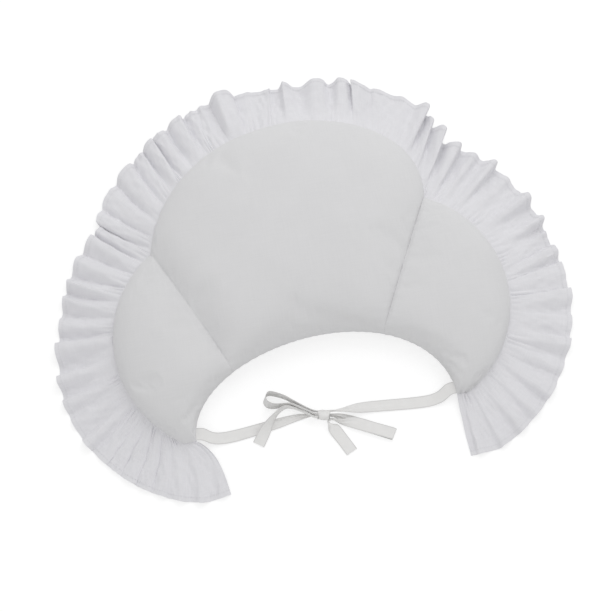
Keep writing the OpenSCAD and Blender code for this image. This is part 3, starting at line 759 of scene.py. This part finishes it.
class BUMROLL_OT_pad(bpy.types.Operator):
    """Three stuffed sections of the pad, swelled by cloth simulation and drawn in at the seams"""
    bl_idname = "bumroll.pad"
    bl_label = "Stuffed pad"

    # Columns of each section and rows of all three, in the mesh that is swelled
    columns = (48, 72, 48)
    rows = 36
    # Share of the crown's height before the swell
    fullness = 0.93
    # Places of the finer mesh, in columns from a panel seam and in rows from an edge
    seam_columns = np.array([0, 0.1, 0.22, 0.38, 0.6, 0.85])
    edge_rows = np.array([0, 0.12, 0.3, 0.55, 0.85, 1.25])

    def execute(self, context):
        settings = context.scene.bumroll_pad
        material = woven_material("white cotton cover", settings.colour, pitch=0.9, relief=0.16, slub=0.05,
                                  roughness=0.88, sheen=0.12)
        moved = self.swelled(context, settings)
        start = 0
        for k, name in enumerate(("left", "back", "right")):
            count = self.columns[k]
            part = slice(start, start + count + 1)
            section = self.section(name, k, [grid[part] for grid in moved], settings)
            finish_piece(section, material, "cover_cloth", name + "_top_panel", name + "_under_panel",
                         name + "_wadding")
            start += count
        return {"FINISHED"}

    def swelled(self, context, settings):
        """How far the stuffing moves each point of the top and of the under cover."""
        sides = []
        for top in (True, False):
            parts = []
            for k, count in enumerate(self.columns):
                share = row_share(np.linspace(0, 1, self.rows + 1))
                t, v = np.meshgrid(np.linspace(0, 1, count + 1), share, indexing="ij")
                parts.append(pad_points(k, t, v, top, self.fullness)[: None if k == RIGHT else -1])
            sides.append(np.concatenate(parts))
        points, faces, under_at = stuffed_skin(*sides, walls=(False, False))
        form = new_piece("swelling", points, faces)
        seams = [self.columns[LEFT], self.columns[LEFT] + self.columns[BACK]]
        held = np.zeros(sides[0].shape[:2], bool)
        held[:, [0, -1]] = held[[0, 1, 2, -3, -2, -1]] = held[seams] = True
        top_at = np.arange(held.size).reshape(held.shape)
        group = form.vertex_groups.new(name="seams")
        group.add(np.unique(np.concatenate([top_at[held], under_at[held]])).tolist(), 1.0, "REPLACE")
        cloth = form.modifiers.new("stuffing", "CLOTH")
        sewn = cloth.settings
        sewn.quality, sewn.mass = 6, 0.2
        sewn.tension_stiffness = sewn.compression_stiffness = 15
        sewn.shear_stiffness, sewn.bending_stiffness = 8, 1.5
        sewn.use_pressure, sewn.uniform_pressure_force = True, settings.pressure
        sewn.shrink_min = sewn.shrink_max = -settings.ease
        sewn.effector_weights.gravity = 0
        sewn.vertex_group_mass = "seams"
        cloth.collision_settings.use_collision = False
        frames = 20
        cloth.point_cache.frame_start, cloth.point_cache.frame_end = 1, frames
        for number in range(1, frames + 1):
            context.scene.frame_set(number)
        shaped = form.evaluated_get(context.evaluated_depsgraph_get())
        places = np.empty(len(shaped.data.vertices) * 3, np.float32)
        shaped.data.vertices.foreach_get("co", places)
        moved = (places.reshape(-1, 3) - to_frame(points)) / MM
        context.scene.frame_set(1)
        mesh = form.data
        bpy.data.objects.remove(form)
        bpy.data.meshes.remove(mesh)
        far = np.linalg.norm(moved, axis=1, keepdims=True)
        moved *= np.minimum(1, settings.swell / MM / np.maximum(far, 1e-9))
        return [moved[top_at], moved[under_at]]

    def section(self, name, k, moved, settings):
        """One section in a finer mesh, with its cover moved by the stuffing and sewn down."""
        count = self.columns[k]
        x = fine_steps(count, self.seam_columns, first=1.2, step=0.6)
        y = fine_steps(self.rows, self.edge_rows, first=1.75, step=0.5)
        t, v = np.meshgrid(x / count, row_share(y / self.rows), indexing="ij")
        columns, rows = spread_weights(x, count), spread_weights(y, self.rows)
        grids = []
        for top, delta in zip((True, False), moved):
            swell = np.einsum("ai,ijc,bj->abc", columns, delta, rows)
            grid = pad_points(k, t, v, top, self.fullness) + swell
            grids.append(self.sewn(k, v, grid, top, settings))
        walls = (k != LEFT, k != RIGHT)
        points, faces, under_at = stuffed_skin(*grids, walls)
        flat = np.empty((len(points), 2))
        flat[under_at.ravel()] = self.unrolled(grids[1]).reshape(-1, 2)
        flat[: t.size] = self.unrolled(grids[0]).reshape(-1, 2)
        return new_piece(name + "_section", points, faces, flat)

    def unrolled(self, grid):
        """Flat places of the cover cloth, straight across X and with a share of the height laid along Y."""
        return np.stack([grid[..., 0], grid[..., 1] + 0.35 * grid[..., 2]], -1)

    def sewn(self, k, v, grid, top, settings):
        """Draws a cover in at its seams: a stitched line, puckers, lumps between them, and dips on top."""
        along, across = run_along(grid, 0), run_along(grid, 1)
        from_start, from_end, none = along, along[-1:] - along, np.full(along.shape, np.inf)
        from_left_seam = (from_end, from_start, none)[k]
        from_right_seam = (none, from_end, from_start)[k]
        from_panel = np.minimum(from_left_seam, from_right_seam)
        from_waist, from_outer = across, across[:, -1:] - across
        line = bell(from_right_seam, LINE_W) + LEFT_LINE * bell(from_left_seam, LINE_W)
        ends = np.clip(from_outer / OUTER_FADE, 0, 1) * np.clip(from_waist / WAIST_FADE, 0, 1)
        rise = -settings.groove / MM * line * ends
        puckers = ((from_panel, across, PANEL_PUCKER), (from_outer, along, OUTER_PUCKER),
                   (from_waist, along, WAIST_PUCKER))
        for gap, run, (pitch, share) in puckers:
            wander = 1.4 * np.sin(run / 23.0 + 2.0 * k) + 0.9 * np.sin(run / 9.7 + k)
            fade = np.exp(-gap / PUCKER_REACH) * (1 - bell(gap, PUCKER_START))
            rise = rise + share * settings.pucker / MM * np.sin(2 * np.pi * run / pitch + wander) * fade
        inner = np.minimum(np.minimum(from_panel, from_waist), from_outer)
        rise = rise + self.lumps(grid) * np.clip(inner / LUMP_START, 0, 1)
        out = unit(np.cross(np.gradient(grid, axis=0), np.gradient(grid, axis=1))) * (1 if top else -1)
        grid = grid + rise[..., None] * out
        if top:
            roll = bell(from_left_seam, BACK_ROLL_W if k == BACK else LEFT_ROLL_W)
            dip = settings.roll / MM * roll + settings.crease / MM * bell(from_right_seam, CREASE_W)
            grid[..., 2] -= dip * np.clip(np.minimum(v, 1 - v) / DIP_FADE, 0, 1)
        grid[..., 2] = np.maximum(grid[..., 2], COVER_LOW)
        return grid

    def lumps(self, grid):
        """Height of the stuffing's soft lumps, in millimetres."""
        x, y = grid[..., 0], grid[..., 1]
        small = np.sin(x / 17 + 0.6 * np.sin(y / 23)) * np.sin(y / 21 + 1.3)
        return 0.55 * small + 0.4 * np.sin(x / 31 - y / 27 + 2)


def arc_run(k):
    """Length of a section's outer seam as a plain arc."""
    half = np.linalg.norm(CORNERS[k + 1] - CORNERS[k]) / 2
    radius = (half ** 2 + BULGES[k] ** 2) / (2 * BULGES[k])
    return 2 * radius * math.asin(half / radius)


SEAM_RUNS = np.array([TIP_W, arc_run(LEFT), arc_run(BACK), arc_run(RIGHT), TIP_W])
SEAM_STARTS = np.concatenate([[0], np.cumsum(SEAM_RUNS)[:-1]])
SEAM_LENGTH = float(SEAM_RUNS.sum())


def seam_points(s):
    """Places along the outer seam, from the inner corner of the left tip to that of the right tip."""
    d = s * SEAM_LENGTH
    part = np.clip(np.searchsorted(SEAM_STARTS, d, side="right") - 1, 0, 4)
    t = (d - SEAM_STARTS[part]) / SEAM_RUNS[part]
    points = np.empty((len(s), 3))
    tip_z = seam_height(RIGHT, np.ones(1))[0]
    for n in range(5):
        here = part == n
        if n in (0, 4):
            x = mix(WAIST_A, TIP_OUTER, t[here] if n == 0 else 1 - t[here])
            points[here] = np.stack([x if n == 4 else -x, 0 * x, 0 * x + tip_z], -1)
        else:
            height = seam_height(n - 1, t[here])[:, None]
            points[here] = np.concatenate([outer_edge(n - 1, t[here]), height], -1)
    return points


def ruffle_turn(s):
    """Direction in which the ruffle leaves the seam: back in the middle, forward at the tips, swaying."""
    side = 2 * s - 1
    fan = np.where(side < 0, LEFT_FAN, RIGHT_FAN)
    sway = sum(size * np.sin(2 * np.pi * count * s + start) for size, count, start in SWAYS)
    sway = sway * np.clip(np.minimum(s, 1 - s) / SWAY_FADE, 0, 1)
    late = np.sign(side) * (TIP_TURN + fan) * np.abs(side) ** TIP_TURN_LATE
    return np.radians(90 - EVEN_TURN * side - late + sway)


def points_at(line, run, places):
    """Points of a line at given lengths along it."""
    return np.stack([np.interp(places, run, line[:, c]) for c in range(3)], -1)


class BUMROLL_OT_ruffle(bpy.types.Operator):
    """Gathered ruffle with a stitched hem, caught in the outer seam"""
    bl_idname = "bumroll.ruffle"
    bl_label = "Gathered ruffle"

    # Rows as shares of the width: inside the seam, the gathers, the fall, the step of the hem and the hem
    rows = np.concatenate([[-0.03, 0, 0.012, 0.03, 0.055, 0.085], np.linspace(0.12, 0.855, 22),
                           [0.89, 0.912, 0.92, 0.955, 0.985, 1.0]])

    def execute(self, context):
        settings = context.scene.bumroll_ruffle
        self.gather(random.Random(7))
        s = self.columns_along(settings.columns)
        grid = self.surface(s, self.rows)
        half = np.full(grid.shape[:2] + (1,), settings.thickness / MM / 2)
        half[:, np.searchsorted(self.rows, 1 - settings.hem / MM / RUFFLE_W):] *= HEM_LAYERS
        points, faces = closed_sheet(grid, half)
        run = run_along(grid[:, HEM_ROW], 0)
        ruffle = new_piece("gathered_ruffle", points, faces, cloth_places(run, self.rows * RUFFLE_W))
        material = woven_material("thin white cotton", settings.colour, pitch=0.7, relief=0.1, slub=0.08,
                                  roughness=0.9, sheen=0.15)
        finish_piece(ruffle, material, "ruffle_cloth", "ruffle")
        stitches = self.stitches(settings, s, run)
        return {"FINISHED"}

    def gather(self, draws):
        """Crests and valleys of the folds, with a little chance in how each leans, rises and sags."""
        self.crests, self.size, self.sharp, self.lean = np.array(FOLD_CRESTS).T
        self.valleys = np.concatenate([[0], (self.crests[:-1] + self.crests[1:]) / 2, [1]])
        count = len(self.crests)
        self.lean = self.lean + np.array([draws.uniform(-0.15, 0.15) for _ in range(count)])
        self.grow = np.array([draws.uniform(0.8, 1.5) for _ in range(count)])
        self.grow *= np.where(self.crests < LATE_FROM, 1, LATER_RISE) * np.clip(self.sharp, 0.5, 2)
        self.sag = np.array([draws.uniform(0, 0.25) for _ in range(count + 1)])
        # Waves of uneven cloth: size, radians across a fold and from seam to hem, start
        ranges = ((0.3, 0.7), (0.6, 7), (-6, 6), (0, 6.3))
        self.waves = [[draws.uniform(*ends) for ends in ranges] for _ in range(8)]

    def columns_along(self, columns):
        """Places of the mesh's columns along the seam, crowded a little at each valley."""
        part = np.linspace(0, 1, columns, endpoint=False)
        place = np.arange(len(self.crests))[:, None] + mix(part, (1 - np.cos(np.pi * part)) / 2, 0.5)
        knots = np.append(np.stack([self.valleys[:-1], self.crests], -1).ravel(), 1)
        return np.append(np.interp(place.ravel() * 2, np.arange(len(knots)), knots), 1)

    def folds_at(self, s):
        """Number of the fold at each place along the seam, the share of it passed and its crest there."""
        n = np.clip(np.searchsorted(self.valleys, s, side="right") - 1, 0, len(self.crests) - 1)
        before, peak, after = self.valleys[n], self.crests[n], self.valleys[n + 1]
        x = np.where(s < peak, (s - before) / (peak - before), 1 + (s - peak) / (after - peak)) / 2
        half = CREST_HALF / self.sharp[n] ** CREST_NARROWS
        blunt = np.where(self.size[n] < HIGH_FROM, LOW_BLUNT, HIGH_BLUNT)
        blunt = np.where(self.sharp[n] < BOX_BELOW, BOX_BLUNT, blunt)
        edge = np.exp(-((0.5 / half) ** blunt))
        crest = (np.exp(-((np.abs(x - 0.5) / half) ** blunt)) - edge) / (1 - edge)
        return n, x, crest

    def tucks(self, at, inside):
        """Height of the small uneven tucks at the gathered edge, by fold and share of the width."""
        gather = TUCKS * at + 0.5 * np.sin(1.9 * at) + 0.3 * np.sin(4.7 * at + 1)
        tuck = (0.5 + 0.5 * np.cos(2 * np.pi * gather)) ** 0.6 - 0.5
        height = TUCK_H + 0.8 * np.sin(2.3 * at + 2)
        reach = TUCK_REACH + 0.2 * np.sin(1.7 * at + 0.5)
        return height * tuck * bell(inside, reach) * (1 - bell(inside, TUCK_START))

    def surface(self, s, r):
        """Middle of the ruffle's cloth, s along the seam and r from the seam to the hem."""
        seam, turn = seam_points(s), ruffle_turn(s)
        out = np.stack([np.cos(turn), np.sin(turn), 0 * turn], -1)
        along = np.stack([np.sin(turn), -np.cos(turn), 0 * turn], -1)
        swell = sum(share * bell(s - place, spread) for place, spread, share in HEM_SWELLS)
        n, x, crest = self.folds_at(s)
        low = mix(self.sag[n], self.sag[n + 1], x) * (1 - crest)
        keeps = np.where(s < LEFT_UNTIL, LEFT_SHARE, LATER_SHARE)
        height = FOLD_H * self.size[n]
        at, place, swell, crest, low, keeps, height, lean, grow = (
            a[:, None] for a in (n + x, s, swell, crest, low, keeps, height, self.lean[n], self.grow[n]))
        inside = np.maximum(r, 0)[None, :]
        opened = 1 - (1 - inside) ** 2
        uneven = sum(size * np.sin(a * at + b * inside + c) for size, a, b, c in self.waves)
        creases = sum(0.5 - np.abs(np.sin(a * at + b * inside + CREASE_WANDER * uneven)) for a, b in CREASES)
        fold = height * keeps * opened ** grow * crest
        rise = mix(fold, FOLD_H * VALLEY_RISE * opened, low) + self.tucks(at, inside)
        rise = rise + (UNEVEN_RISE * uneven + CREASE_H * creases) * opened
        width = RUFFLE_W * (1 + swell) + FOLD_REACH * fold
        reach = np.where(r < 0, r * RUFFLE_W, inside * width)
        bow = END_BOW * np.sin(np.pi * inside ** 0.8) * bell(place, END_BOW_SPREAD)
        shift = lean * height * crest * inside + UNEVEN_SHIFT * uneven * opened - bow
        grid = seam[:, None] + reach[..., None] * out[:, None] + shift[..., None] * along[:, None]
        lift = mix(seam[:, 2:3], RUFFLE_T / 2, opened) + rise
        grid[..., 2] = np.maximum(lift, RUFFLE_LOW)
        return grid

    def stitches(self, settings, s, run):
        """Short raised stitches that hold the turned hem."""
        count = int(run[-1] * MM / settings.stitch)
        beside, line = self.surface(s, np.array(STITCH_ROWS)).swapaxes(0, 1)
        ends = np.linspace(0, run[-1], count + 1)
        halfway = (ends[:-1] + ends[1:]) / 2
        middle, inner = points_at(line, run, halfway), points_at(beside, run, halfway)
        ahead = unit(np.diff(points_at(line, run, ends), axis=0))
        up = unit(np.cross(ahead, inner - middle))
        up *= np.sign(up[:, 2:3])
        side = np.cross(ahead, up)
        turns = np.linspace(0, 2 * np.pi, STITCH_SIDES, endpoint=False)
        ring = STITCH_R * (np.cos(turns)[:, None] * side[:, None] + np.sin(turns)[:, None] * up[:, None])
        base = middle + up * (settings.thickness / MM * STITCH_LIFT)
        long = settings.stitch / MM
        rings = [(base + ahead * place * long + up * lift)[:, None] + share * ring
                 for place, share, lift in STITCH_RINGS]
        points = np.stack(rings, 1)
        faces = []
        for at in np.arange(points[..., 0].size).reshape(points.shape[:3]).tolist():
            for a, b in zip(at[:-1], at[1:]):
                faces += [[b[i - 1], b[i], a[i], a[i - 1]] for i in range(STITCH_SIDES)]
            faces += [at[0], at[-1][::-1]]
        stitches = new_piece("hem_stitches", points.reshape(-1, 3), faces)
        finish_piece(stitches, thread_material("white thread", settings.colour), "ruffle_cloth")
        return stitches


class BUMROLL_PT_panel(bpy.types.Panel):
    """Sizes and colours of the bum roll"""
    bl_idname = "BUMROLL_PT_panel"
    bl_label = "Bum Roll"
    bl_space_type = "VIEW_3D"
    bl_region_type = "UI"
    bl_category = "Bum Roll"

    def draw(self, context):
        for operator, settings in PIECES:
            box = self.layout.box()
            box.operator(operator.bl_idname)
            group = getattr(context.scene, settings)
            for name in group.bl_rna.properties.keys():
                if name not in ("rna_type", "name"):
                    box.prop(group, name)


PIECES = (
    (BUMROLL_OT_stage, "bumroll_stage"),
    (BUMROLL_OT_ties, "bumroll_ties"),
    (BUMROLL_OT_pad, "bumroll_pad"),
    (BUMROLL_OT_ruffle, "bumroll_ruffle"),
)
SETTINGS = {
    "bumroll_stage": StageSettings,
    "bumroll_ties": TieSettings,
    "bumroll_pad": PadSettings,
    "bumroll_ruffle": RuffleSettings,
}
CLASSES = (*SETTINGS.values(), *[operator for operator, _ in PIECES], BUMROLL_PT_panel)


def register():
    for cls in CLASSES:
        bpy.utils.register_class(cls)
    for name, group in SETTINGS.items():
        setattr(bpy.types.Scene, name, PointerProperty(type=group))


def unregister():
    for name in SETTINGS:
        delattr(bpy.types.Scene, name)
    for cls in reversed(CLASSES):
        bpy.utils.unregister_class(cls)


def main():
    register()
    bpy.ops.bumroll.stage()
    bpy.ops.bumroll.ties()
    bpy.ops.bumroll.pad()
    bpy.ops.bumroll.ruffle()


if __name__ == "__main__":
    main()
